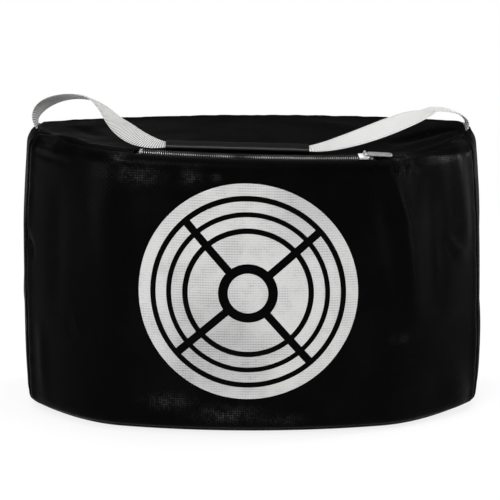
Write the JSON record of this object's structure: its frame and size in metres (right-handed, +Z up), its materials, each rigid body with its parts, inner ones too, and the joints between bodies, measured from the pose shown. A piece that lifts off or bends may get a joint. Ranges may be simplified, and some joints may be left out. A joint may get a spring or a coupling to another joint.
{
  "type": "golf impact bag",
  "caption": "Stuffed D-shaped strike bag of coated black cloth with a ring target on its bowed front, a zip along its top edge and a webbing carry handle.",
  "frame": {"origin": "middle of the bag's footprint, on the floor", "axes": "+X to the right as seen from the front, +Y to the back, +Z up"},
  "size_m": [0.4796, 0.2105, 0.3234],
  "materials": {
    "coated_cloth": "glossy coated woven cloth",
    "lining_tape": "matt woven tape",
    "printed_grey": "satin print with a fine rib",
    "zip_metal": "black nickel, glossy",
    "webbing": "ribbed woven webbing",
    "grip_sleeve": "padded woven sleeve",
    "towel_blue": "terry cloth",
    "towel_cream": "terry cloth"
  },
  "bodies": {
    "root": {"front_panel": "coated_cloth", "back_panel": "coated_cloth", "left_gusset": "coated_cloth", "right_gusset": "coated_cloth", "top_panel": "coated_cloth", "bottom_panel": "coated_cloth", "target_print": "printed_grey", "zip_tape_front": "lining_tape", "zip_tape_rear": "lining_tape", "top_seam_binding": "lining_tape", "bottom_seam_binding": "lining_tape", "binding_front_left": "lining_tape", "binding_front_right": "lining_tape", "binding_back_left": "lining_tape", "binding_back_right": "lining_tape", "zip_teeth_front": "zip_metal", "zip_teeth_rear": "zip_metal", "zip_stop_left": "zip_metal", "zip_stop_right": "zip_metal", "strap_end_left": "webbing", "strap_end_right": "webbing", "folded_towel_1": "towel_blue", "folded_towel_3": "towel_blue", "folded_towel_5": "towel_blue", "folded_towel_2": "towel_cream", "folded_towel_4": "towel_cream"},
    "zip_slider": {"zip_slider": "zip_metal"},
    "zip_pull": {"zip_pull": "zip_metal"},
    "handle": {"handle_strap": "webbing", "handle_grip": "grip_sleeve"}
  },
  "joints": [
    {"name": "zip_slider_run", "type": "hinge", "parent": "root", "child": "zip_slider", "pos_m": [0, 0.495, 0.28116], "axis": [-0.0277, 0, -0.9996], "range_deg": [0, 21.2]},
    {"name": "zip_pull_turn", "type": "hinge", "parent": "zip_slider", "child": "zip_pull", "pos_m": [0.11185, -0.07149, 0.28218], "axis": [0.1708, -0.9222, -0.3469], "range_deg": [0, 186]},
    {"name": "handle_swing", "type": "hinge", "parent": "root", "child": "handle", "pos_m": [0, 0.0709, 0.2848], "axis": [-1, 0, 0], "range_deg": [0, 90]}
  ]
}
